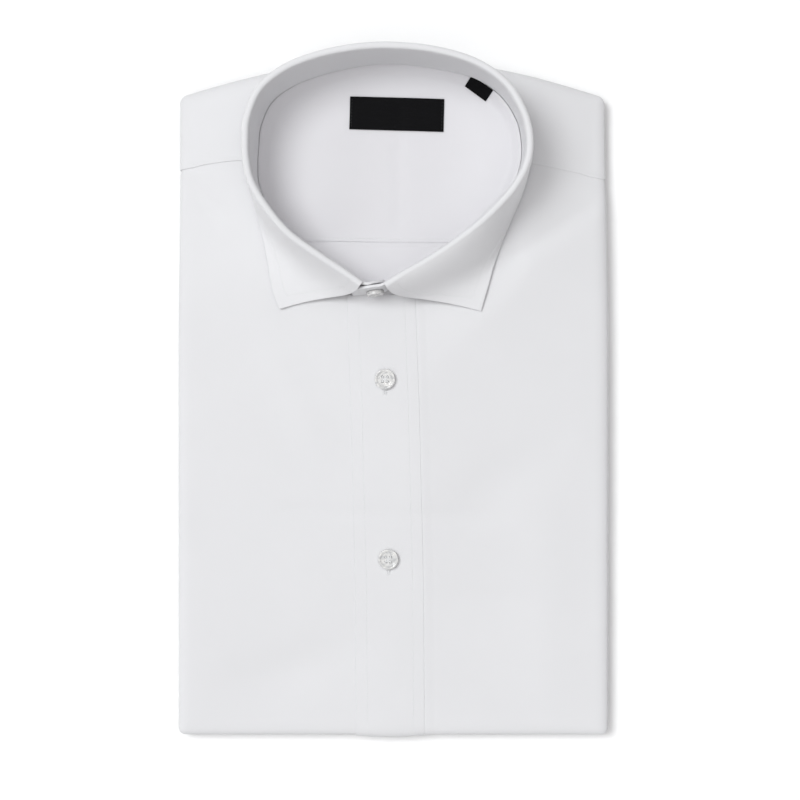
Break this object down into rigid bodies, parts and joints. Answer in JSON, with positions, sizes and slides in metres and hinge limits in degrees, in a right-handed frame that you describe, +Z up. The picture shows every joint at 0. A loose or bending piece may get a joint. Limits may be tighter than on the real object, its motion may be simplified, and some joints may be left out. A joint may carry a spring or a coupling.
{
  "type": "folded oxford shirt",
  "caption": "Men's long-sleeved white shirt folded for the shelf, front up, with a standing spread collar, a buttoned placket and a woven neck label.",
  "frame": {"origin": "middle of the shirt's footprint, on the surface it lies on", "axes": "+Z up out of the folded front, +Y from the hem to the collar, +X to the wearer's left side"},
  "size_m": [0.234, 0.3735, 0.0641],
  "materials": {
    "oxford_cloth": "white cotton oxford, pressed",
    "collar_cloth": "white cotton oxford over interlining, pressed and topstitched",
    "label_woven": "black woven satin tape",
    "button_pearl": "pearly polyester"
  },
  "bodies": {
    "root": {"front_right": "oxford_cloth", "front_left": "oxford_cloth", "placket": "oxford_cloth", "yoke_outer": "oxford_cloth", "yoke_inner": "oxford_cloth", "back_inner": "oxford_cloth", "collar_stand": "collar_cloth", "collar_leaf": "collar_cloth", "folded_layers": "oxford_cloth", "label_main": "label_woven", "label_size": "label_woven", "button_collar": "button_pearl", "button_1": "button_pearl", "button_2": "button_pearl"}
  },
  "joints": []
}
